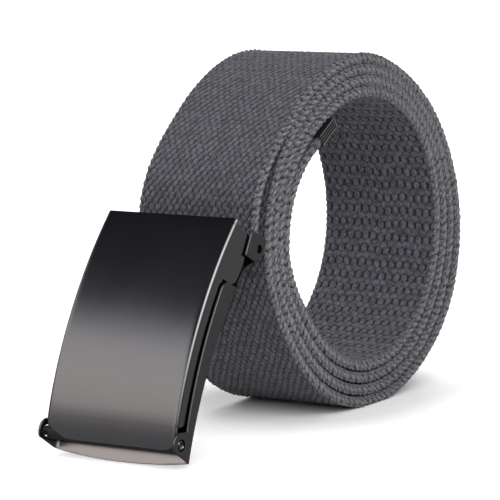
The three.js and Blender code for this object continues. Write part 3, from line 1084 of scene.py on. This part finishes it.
@dataclass
class Buckle:
    """The buckle's lid, frame, pin, jaw and rivets, in millimetres."""

    place: BucklePlace = field(default_factory=BucklePlace)
    frame_half: float = 22.1
    frame_sheet: float = 0.6
    frame_bend: float = 1.3
    frame_top: float = 62.0
    frame_below: float = 3.0
    frame_bulge: float = 1.5
    step_start: float = 51.5
    step_length: float = 7.0
    clamp_depth: float = 14.45
    clamp_height: float = 7.1
    clamp_face: float = -6.0
    ear_radius: float = 3.4
    ear_flat: float = 2.4
    ear_foot: float = 1.9
    wall_corner: float = 2.4
    lid_half: float = 21.2
    lid_sheet: float = 0.7
    lid_bend: float = 1.2
    lid_end: float = 8.0
    lid_end_radius: float = 80.0
    lid_top: float = 62.6
    lid_below: float = 1.8
    lid_stand: float = 3.95
    flange_depth: float = 4.6
    flange_start: float = 4.2
    flange_rise: float = 2.1
    flange_step: float = 1.3
    lid_blend: float = 4.0
    frame_blend: float = -3.0
    left_cut: tuple[float, float] = (6.5, 3.3)
    right_cut: tuple[float, float] = (2.0, 1.2)
    lug_reach: float = 7.3
    lug_low: float = 45.9
    lug_top: float = 60.9
    lug_corner: float = 2.0
    pin_depth: float = 0.5
    pin_radius: float = 0.9
    pin_head: float = 1.35
    clearance: float = 0.3
    rivet_depth: float = 11.2
    rivet_along: float = 58.6
    rivet_radius: float = 0.9
    rivet_ends: tuple[float, float] = (19.3, 21.5)
    cam_lobe: float = 1.9
    cam_offset: float = 0.8
    cam_barrel: float = 1.6
    cam_rib: float = 0.12

    def cover(self, along: Array | float) -> Array:
        """Outward place of the lid's face."""
        return arc_out(along, 5.0, 29.5, 130.0)

    def lid_face(self, along: Array | float) -> Array:
        """Outward place of the lid's face with its lower end bent back."""
        past = np.maximum(0.0, self.lid_end - np.asarray(along, dtype=float))
        return self.cover(along) - past**2 / (2 * self.lid_end_radius)

    def plate(self, along: Array | float) -> Array:
        """Outward place of the back plate's rear face, with its step behind the clamp.

        Args:
            along: place along the buckle.

        Returns:
            The outward place.
        """
        def arc(place: Array | float) -> Array:
            """Outward place of the face below the step."""
            return arc_out(place, -4.2, 21.0, 120.0)

        along = np.asarray(along, dtype=float)
        share = np.clip((along - self.step_start) / self.step_length, 0.0, 1.0)
        start = arc(self.step_start)
        slope = (start - arc(self.step_start - 0.05)) / 0.05
        step = start + (-self.clamp_depth - start) * (share**2 * (3 - 2 * share))
        step = step + slope * self.step_length * share * (1 - share) ** 2
        return np.where(along <= self.step_start, arc(np.minimum(along, self.step_start)), step)

    def lid_edge(self, along: float) -> float:
        """Outward place of the free edge of the lid's walls.

        Args:
            along: place along the buckle.

        Returns:
            The outward place.
        """
        back = float(self.lid_face(along)) - self.lid_sheet
        if along < self.flange_start:
            return back - 0.1
        if along >= self.lug_top:
            return back - 0.3
        if along <= self.lug_low:
            rise = min(1.0, max(0.0, (along - self.flange_start) / self.flange_rise))
            return back - 0.3 - (self.flange_depth - self.flange_step) * rise**0.5
        near = min(along - self.lug_low, self.lug_top - along, self.lug_corner)
        corner = self.lug_corner - math.sqrt(self.lug_corner**2 - (self.lug_corner - near) ** 2)
        floor = float(self.plate(along)) + self.frame_sheet + self.clearance
        return max(-self.lug_reach, floor) + corner

    def frame_edge(self, along: float) -> float:
        """Outward place of the free edge of the frame's walls.

        Args:
            along: place along the buckle.

        Returns:
            The outward place.
        """
        plate = float(self.plate(along)) + self.frame_sheet
        wall = float(self.cover(along)) - self.lid_stand
        wall_top = self.lug_low - self.clearance
        if along < -self.ear_flat:
            share = max(0.0, (along + self.frame_below) / (self.frame_below - self.ear_flat))
            return plate + 1.0 + (self.ear_foot - plate - 1.0) * share
        if along < self.ear_radius:
            ear = math.sqrt(max(0.0, self.ear_radius**2 - along**2)) - self.pin_depth
            return max(ear, wall)
        if along <= wall_top:
            near = max(0.0, along - wall_top + self.wall_corner)
            return wall - self.wall_corner + math.sqrt(max(0.0, self.wall_corner**2 - near**2))
        if along < self.frame_top - self.clamp_height:
            return plate
        near = max(0.0, along - self.frame_top + 1.0)
        return self.clamp_face - 1.0 + math.sqrt(max(0.0, 1.0 - near**2))

    def build(self, finishes: dict[str, bpy.types.Material]) -> None:
        """Build and dress every piece of the buckle.

        Args:
            finishes: materials by name.
        """
        self._lid(finishes["lid"])
        self._frame(finishes["frame"])
        # Painted shade: the cam bar gets the black finish, which stands in for the shadow under
        # the lid's lower end, seen through its cut corners.
        self._cam(finishes["black"])
        self._pin(finishes["pin"])
        self._rivets(finishes["black"])
        self._jaw(finishes["frame"])

    def _lid(self, material: bpy.types.Material) -> None:
        """Build the curved cover with its flanges and lugs.

        Args:
            material: its finish.
        """
        def low(across: float) -> float:
            """Lower edge, with a long cut at the left corner and a short one at the right."""
            width, length = self.left_cut if across < 0.0 else self.right_cut
            past = min(width, max(0.0, abs(across) - self.lid_half + width))
            return -self.lid_below + past * length / width

        corner = self.lug_corner * (1 - np.cos(np.linspace(0.0, math.pi / 2, 6)))
        stations = np.concatenate([
            np.linspace(-self.lid_below, 4.0, 7), [4.15, 4.25, 4.5, 4.9, 5.5, 6.3],
            np.linspace(7.2, 45.0, 36), [45.6, 45.88], self.lug_low + 0.02 + corner,
            np.linspace(48.6, 58.4, 10), self.lug_top - 0.02 - corner[::-1],
            [60.92, 61.3, 61.8, 62.2, self.lid_top]])
        inner = self.lid_half - self.left_cut[0]
        columns = np.concatenate([
            np.linspace(-19.8, -inner, 6)[:-1], np.linspace(-inner, inner, 15),
            np.linspace(inner, 19.8, 6)[1:]])
        sheet = BentSheet(self.lid_half, self.lid_sheet, self.lid_bend, -1, self.lid_face,
                          self.lid_edge, low, stations, columns, self.lid_blend, self.place)
        piece = sheet.build("lid_cover")
        soften_edges(piece, 0.16 * MM)
        finish_piece(piece, material, Body.LID, "buckle_lid")

    def _frame(self, material: bpy.types.Material) -> None:
        """Build the back plate with its walls and ears.

        Args:
            material: its finish.
        """
        start = -self.frame_below - self.frame_bulge

        def low(across: float) -> float:
            """Lower edge, bowed downwards in the middle."""
            return self.frame_bulge * (across / self.frame_half) ** 2 + start

        wall_top = self.lug_low - self.clearance
        corner = self.wall_corner * (1 - np.cos(np.linspace(0.0, math.pi / 2, 6)))[::-1]
        clamp_low = self.frame_top - self.clamp_height
        stations = np.concatenate([
            [start, -4.0, -3.4, -3.0], np.linspace(-2.95, -2.4, 4),
            np.linspace(-2.1, 3.38, 14), np.linspace(4.2, 42.6, 36), wall_top - 0.01 - corner,
            [wall_top + 0.02], np.linspace(46.6, clamp_low - 0.03, 18),
            [clamp_low + 0.02], np.linspace(55.4, 60.9, 12), [61.2, 61.5, 61.75, 61.92, 62.0]])
        sheet = BentSheet(self.frame_half, self.frame_sheet, self.frame_bend, 1, self.plate,
                          self.frame_edge, low, stations, np.linspace(-20.2, 20.2, 25),
                          self.frame_blend, self.place)
        piece = sheet.build("back_plate")
        self._drill(piece, (-self.pin_depth, 0.0), self.pin_head + self.clearance)
        self._drill(piece, (-self.rivet_depth, self.rivet_along), self.rivet_radius + 0.3)
        soften_edges(piece, 0.14 * MM)
        finish_piece(piece, material, Body.BELT, "buckle_frame")

    def _drill(self, piece: bpy.types.Object, middle: tuple[float, float],
               radius: float) -> None:
        """Cut a round hole through both sides of a piece.

        Args:
            piece: object to cut.
            middle: out and along of the hole's middle.
            radius: radius of the hole.
        """
        turn = np.linspace(0.0, TURN, 32, endpoint=False)
        drill = loft("drill", np.stack([
            self.place.ring(x, middle, radius, turn) for x in (-26.0, 26.0)]))
        cut = piece.modifiers.new("hole", "BOOLEAN")
        cut.operation = "DIFFERENCE"
        cut.solver = "EXACT"
        cut.object = drill
        bpy.context.view_layer.update()
        graph = bpy.context.evaluated_depsgraph_get()
        mesh = bpy.data.meshes.new_from_object(piece.evaluated_get(graph))
        piece.modifiers.clear()
        piece.data = mesh
        bpy.data.objects.remove(drill, do_unlink=True)

    def _turned(self, name: str, middle: tuple[float, float],
                profile: Sequence[tuple[float, float]]) -> bpy.types.Object:
        """Build a turned piece about a line across the buckle.

        Args:
            name: name of the piece.
            middle: out and along of its line.
            profile: place across and radius of each ring.

        Returns:
            The object.
        """
        turn = np.linspace(0.0, TURN, 40, endpoint=False)
        piece = loft(name, np.stack([
            self.place.ring(x, middle, radius, turn) for x, radius in profile]))
        piece.data.set_sharp_from_angle(angle=math.radians(50))
        return piece

    def _pin(self, material: bpy.types.Material) -> None:
        """Build the hinge pin with its two dished heads.

        Args:
            material: its finish.
        """
        end, head = self.frame_half, self.pin_head
        half = [(end - 0.45, head * 0.12), (end - 0.4, head * 0.4), (end - 0.15, head * 0.66),
                (end, head * 0.8), (end - 0.1, head * 0.94), (end - 0.3, head),
                (end - 1.15, head), (end - 1.16, self.pin_radius)]
        profile = [(-x, radius) for x, radius in half] + half[::-1]
        piece = self._turned("hinge_rod", (-self.pin_depth, 0.0), profile)
        finish_piece(piece, material, Body.BELT, "hinge_pin")

    def _rivets(self, material: bpy.types.Material) -> None:
        """Build the two stubs that carry the jaw.

        Args:
            material: their finish.
        """
        (inner, outer), radius = self.rivet_ends, self.rivet_radius
        for side, name in ((-1, "left"), (1, "right")):
            profile = [(side * inner, radius), (side * (outer - 0.3), radius),
                       (side * (outer - 0.1), radius * 0.9), (side * outer, radius * 0.6)]
            middle = (-self.rivet_depth, self.rivet_along)
            piece = self._turned(f"jaw_stub_{name}", middle, profile)
            finish_piece(piece, material, Body.BELT, f"clamp_rivet_{name}")

    def _jaw(self, material: bpy.types.Material) -> None:
        """Build the toothed jaw as a copy of the frame's own, with softened edges.

        Args:
            material: its finish.
        """
        piece = bpy.data.objects.new("toothed_jaw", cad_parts["clamp_jaw"].data.copy())
        bpy.context.scene.collection.objects.link(piece)
        with opened(piece.data) as shell:
            bmesh.ops.remove_doubles(shell, verts=shell.verts, dist=0.002 * MM)
            bmesh.ops.dissolve_limit(shell, angle_limit=math.radians(2.0), verts=shell.verts,
                                     edges=shell.edges)
        soften_edges(piece, 0.1 * MM)
        finish_piece(piece, material, Body.BELT, "clamp_jaw")

    def _cam(self, material: bpy.types.Material) -> None:
        """Build the ribbed cam bar under the lid.

        Args:
            material: its finish.
        """
        count = 72
        turn = np.linspace(0.0, TURN, count, endpoint=False)
        behind = -np.cos(turn)
        sideways = (self.cam_offset * np.sin(turn)) ** 2
        reach = self.cam_offset * behind + np.sqrt(np.maximum(0.0, self.cam_lobe**2 - sideways))
        ribs = self.cam_rib * (np.arange(count) % 3 == 0) * (behind > -0.2)
        outline = np.maximum(self.cam_barrel, reach) - ribs
        half, bore = self.lid_half - 0.4, self.pin_radius + self.clearance
        rings = np.array([
            self.place.ring(x, (-self.pin_depth, 0.0), radius, turn)
            for x, radius in ((-half, bore), (-half, outline), (half, outline), (half, bore))])
        faces = grid_faces(4, count, True)
        faces += [[3 * count + here, 3 * count + (here + 1) % count, (here + 1) % count, here]
                  for here in range(count)]
        piece = mesh_object("cam_bar", rings.reshape(-1, 3), faces, False)
        finish_piece(piece, material, Body.LID, "buckle_lid")


@dataclass
class EndCap:
    """The thin metal strip folded over the free end of the web, in millimetres."""

    path: RollPath = field(default_factory=RollPath)
    front: float = 5.0
    back: float = -3.6
    thickness: float = 3.2
    sheet: float = 0.36
    corner: float = 0.8
    half_width: float = 19.3
    tab_depth: float = 0.25
    tab_sheet: float = 0.3
    tab_gap: float = 0.08
    folds: tuple[float, float] = (-0.45, 0.45)
    fold_half: float = 0.1

    def _points(self, x: float, outline: Array) -> Array:
        """Points of an outline of places ahead and across, at a place across the web."""
        middle, forward = self.path.tip()
        through = np.array([-forward[1], forward[0]])
        return self.path.placed(x, middle + outline[:, :1] * forward + outline[:, 1:] * through)

    def build(self, material: bpy.types.Material) -> None:
        """Build and dress the cap.

        Args:
            material: its finish.
        """
        back, front, half = self.back, self.front, self.thickness / 2
        bend = np.linspace(-math.pi / 2, math.pi / 2, 13)
        sign = np.where(bend < 0, -1.0, 1.0)
        nose = np.stack([front - self.corner + self.corner * np.cos(bend),
                         sign * (half - self.corner) + self.corner * np.sin(bend)], -1)
        inner = half - self.sheet
        outline = np.concatenate([
            [[back, -half]], nose, [[back, half], [back, inner], [front - self.sheet, inner],
                                    [front - self.sheet, -inner], [back, -inner]]])
        piece = loft("folded_end_cap", np.stack([
            self._points(x, outline) for x in (-self.half_width, self.half_width)]))
        self._close_ends(piece)
        soften_edges(piece, 0.1 * MM, 50.0)
        finish_piece(piece, material, Body.BELT, "belt_tip")

    def _close_ends(self, piece: bpy.types.Object) -> None:
        """Fold a tab in at each end, set a little deeper than the sheet's edges.

        Args:
            piece: the cap, which the tabs join.
        """
        inner = self.thickness / 2 - self.sheet - self.tab_gap
        ahead, behind = self.front - self.sheet - self.tab_gap, self.back + 0.2
        strips = [(self.half_width - self.tab_depth, -inner, inner)]
        strips += [(self.half_width, place - self.fold_half, place + self.fold_half)
                   for place in self.folds]
        with opened(piece.data) as shell:
            for end in (-1, 1):
                for reach, bottom, top in strips:
                    outline = np.array([[behind, bottom], [ahead, bottom], [ahead, top],
                                        [behind, top]])
                    rings = [[shell.verts.new(point) for point in self._points(end * x, outline)]
                             for x in (reach, reach - self.tab_sheet)]
                    shell.faces.new(rings[0])
                    shell.faces.new(rings[1][::-1])
                    for here, there in ((0, 1), (1, 2), (2, 3), (3, 0)):
                        shell.faces.new(
                            (rings[0][here], rings[1][here], rings[1][there], rings[0][there]))
            bmesh.ops.recalc_face_normals(shell, faces=shell.faces)


@dataclass
class Studio:
    """Pale floor and backdrop, soft lights and the camera."""

    azimuth: float = math.radians(34.61)
    elevation: float = math.radians(8.5)
    roll: float = -0.0311
    distance: float = 900.0
    focal: float = 3171.0
    aim: tuple[float, float] = (-17.177, -4.756)
    centre: tuple[float, float, float] = (0.0, 23.88413, 48.52)
    sensor: float = 36.0
    floor_reach: float = 6.0
    backdrop_radius: float = 5.5
    sky: tuple[tuple[float, Colour], ...] = (
        (0.00, (0.20, 0.20, 0.21)),
        (0.15, (0.23, 0.225, 0.24)),
        (0.25, (0.44, 0.42, 0.44)),
        (0.33, (0.95, 0.905, 0.895)),
        (0.42, (1.06, 1.01, 1.00)),
        (0.54, (1.00, 0.985, 1.02)),
        (0.59, (0.50, 0.50, 0.555)),
        (0.635, (0.13, 0.13, 0.155)),
        (0.69, (0.045, 0.046, 0.06)),
        (0.80, (0.085, 0.087, 0.108)),
        (1.00, (0.10, 0.102, 0.13)),
    )
    lights: tuple[tuple[str, tuple[float, float, float], float, float], ...] = (
        ("light_right", (0.75, -0.75, 0.68), 45.0, 2.35),
        ("light_left", (-0.45, -0.2, 1.3), 70.0, 2.0),
    )

    def build(self) -> None:
        """Set up the camera, the light, the floor and the backdrop."""
        self._view()
        self._world()
        self._floor()
        self._backdrop()
        self._lights()

    def _view(self) -> None:
        """Place the camera where the photograph was taken from."""
        sin_a, cos_a = math.sin(self.azimuth), math.cos(self.azimuth)
        sin_e, cos_e = math.sin(self.elevation), math.cos(self.elevation)
        back = Vector((sin_a * cos_e, -cos_a * cos_e, sin_e))
        right = Vector((cos_a, sin_a, 0.0))
        upwards = back.cross(right)
        target = Vector(self.centre) + self.aim[0] * right + self.aim[1] * upwards
        side = math.cos(self.roll) * right + math.sin(self.roll) * upwards
        top = -math.sin(self.roll) * right + math.cos(self.roll) * upwards
        data = bpy.data.cameras.new("camera")
        data.sensor_width = self.sensor
        data.lens = self.focal / IMAGE_SIDE * self.sensor
        data.clip_start, data.clip_end = 0.05, 50.0
        camera = bpy.data.objects.new("camera", data)
        place = (target + self.distance * back) * MM
        turn = Matrix((side, top, back)).transposed().to_4x4()
        camera.matrix_world = Matrix.Translation(place) @ turn
        bpy.context.scene.collection.objects.link(camera)
        bpy.context.scene.camera = camera
        bpy.context.scene.view_settings.view_transform = "Standard"

    def _world(self) -> None:
        """Light the surroundings: a bright band in front, a dim studio elsewhere."""
        world = bpy.data.worlds.new("studio")
        world.use_nodes = True
        bpy.context.scene.world = world
        graph = Graph(world.node_tree)
        way = graph.node("ShaderNodeTexCoord", output="Generated")
        band = graph.node("ShaderNodeValToRGB", {"stops": self.sky}, {0: graph.part(way, "Z")})

        def facing(x: float, y: float, z: float) -> Value:
            """How far the way points towards a place, from 0 to 1."""
            length = math.sqrt(x * x + y * y + z * z)
            return graph.node(
                "ShaderNodeVectorMath", {"operation": "DOT_PRODUCT"},
                {0: way, 1: (x / length, y / length, z / length)}, "Value").most(0.0)

        strength = ((facing(-0.5, -0.87, 0.0) - 0.3) * 3.0).most(0.3).least(1.0) \
            + (facing(0.56, 0.81, -0.15) ** 5.0) * 0.75
        band_light = graph.node("ShaderNodeBackground", None,
                                {"Color": band, "Strength": strength})
        card = (facing(0.8, -0.2, 0.6) ** 16.0) * 3.5
        card_light = graph.node("ShaderNodeBackground", None,
                                {"Color": (1.0, 0.99, 0.98, 1.0), "Strength": card})
        shade = graph.node("ShaderNodeAddShader", None, {0: band_light, 1: card_light})
        graph.node("ShaderNodeOutputWorld", None, {"Surface": shade})

    def _floor(self) -> None:
        """Lay the floor, which glows a little away from the belt."""
        reach = self.floor_reach
        corners = np.array([[-reach, -reach, 0], [reach, -reach, 0], [reach, reach, 0],
                            [-reach, reach, 0]])
        floor = mesh_object("floor", corners, [[0, 1, 2, 3]], False)
        if floor.data.polygons[0].normal.z < 0:
            floor.data.flip_normals()
        material, graph = new_material("floor_paper")
        place = graph.object_place()
        grain = graph.noise(place, 3.0, 2.0)
        away = graph.node("ShaderNodeVectorMath", {"operation": "DISTANCE"},
                          {0: place, 1: (0.0, 0.022, 0.0)}, "Value")
        lit = ((away - 0.03) * 36.0).least(1.0).most(0.0)
        surface(graph, {"Roughness": 0.9, "Specular IOR Level": 0.1, "Emission Strength": 1.0},
                {"Base Color": graph.mix(grain, (0.8, 0.8, 0.8), (0.82, 0.82, 0.82)),
                 "Emission Color": graph.mix(lit, (0.0, 0.0, 0.0), (0.42, 0.42, 0.43))})
        floor.data.materials.append(material)
        floor.visible_glossy = False

    def _backdrop(self) -> None:
        """Stand a white dome round the floor, which only the camera sees."""
        turn = np.linspace(0.0, TURN, 64, endpoint=False)
        tilt = np.radians(np.linspace(-4.0, 88.0, 20))
        rings = self.backdrop_radius * np.stack([
            np.cos(tilt)[:, None] * np.cos(turn), np.cos(tilt)[:, None] * np.sin(turn),
            np.broadcast_to(np.sin(tilt)[:, None], (20, 64))], -1)
        dome = mesh_object("backdrop", rings.reshape(-1, 3), grid_faces(20, 64, True))
        material, graph = new_material("backdrop_white")
        glow = graph.node("ShaderNodeEmission", None, {"Strength": 1.0})
        graph.node("ShaderNodeOutputMaterial", None, {"Surface": glow})
        dome.data.materials.append(material)
        dome.visible_glossy = dome.visible_diffuse = dome.visible_shadow = False
        dome.visible_transmission = False

    def _lights(self) -> None:
        """Set the soft lights, which metal doesn't mirror."""
        for name, place, spread, strength in self.lights:
            data = bpy.data.lights.new(name, "SUN")
            data.angle = math.radians(spread)
            data.energy = strength
            light = bpy.data.objects.new(name, data)
            light.location = place
            light.rotation_mode = "QUATERNION"
            light.rotation_quaternion = (-Vector(place)).to_track_quat("-Z", "Y")
            light.visible_glossy = False
            bpy.context.scene.collection.objects.link(light)


BLACK = ((0.012, 0.012, 0.013), (0.03, 0.03, 0.03), 0.3, 0.4)
# Painted reflection: the frame's lower lip is painted a light warm grey in place of the floor's
# reflection, which the metal doesn't mirror.
LOWER_LIP_PAINTED_REFLECTION = PaintedLightZone((0.64, 0.595, 0.565), (21.5 * MM, 21.2 * MM), (3.7 * MM, 3.2 * MM))
# Painted highlight: the cap's folded end edges are painted grey in place of the light lines that
# they catch.
CAP_EDGE_PAINTED_HIGHLIGHT = PaintedLightZone((0.15, 0.15, 0.15), (19.24 * MM, 19.28 * MM), (0.05, 0.055))
METALS = {
    "lid": MetalFinish("lid_gunmetal", (0.23, 0.226, 0.226), (0.27, 0.266, 0.266), 0.17),
    "frame": MetalFinish("frame_gunmetal", (0.165, 0.165, 0.165), (0.25, 0.243, 0.238), 0.3,
                         painted_light_zone=LOWER_LIP_PAINTED_REFLECTION),
    "pin": MetalFinish("pin_steel", (0.16, 0.16, 0.165), (0.3, 0.29, 0.28), 0.2),
    # The black finish also serves as painted shade on the cam bar.
    "black": MetalFinish("black_steel_and_painted_shade", *BLACK),
    "cap": MetalFinish("cap_black", *BLACK, painted_light_zone=CAP_EDGE_PAINTED_HIGHLIGHT),
}


def main() -> None:
    """Build the belt and its studio, in order."""
    logging.basicConfig(level=logging.INFO)
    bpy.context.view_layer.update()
    web = Web()
    LOG.info("web length %.0f mm", web.length)
    finishes = {name: metal.material() for name, metal in METALS.items()}
    web.build({face: WebFinish(f"charcoal_web_{face.name.lower()}", weave).material()
               for face, weave in WEAVES.items()},
              EdgeYarnFinish("edge_yarn", 1.4 * MM).material())
    Buckle().build(finishes)
    EndCap().build(finishes["cap"])
    Studio().build()


if __name__ == "__main__":
    main()
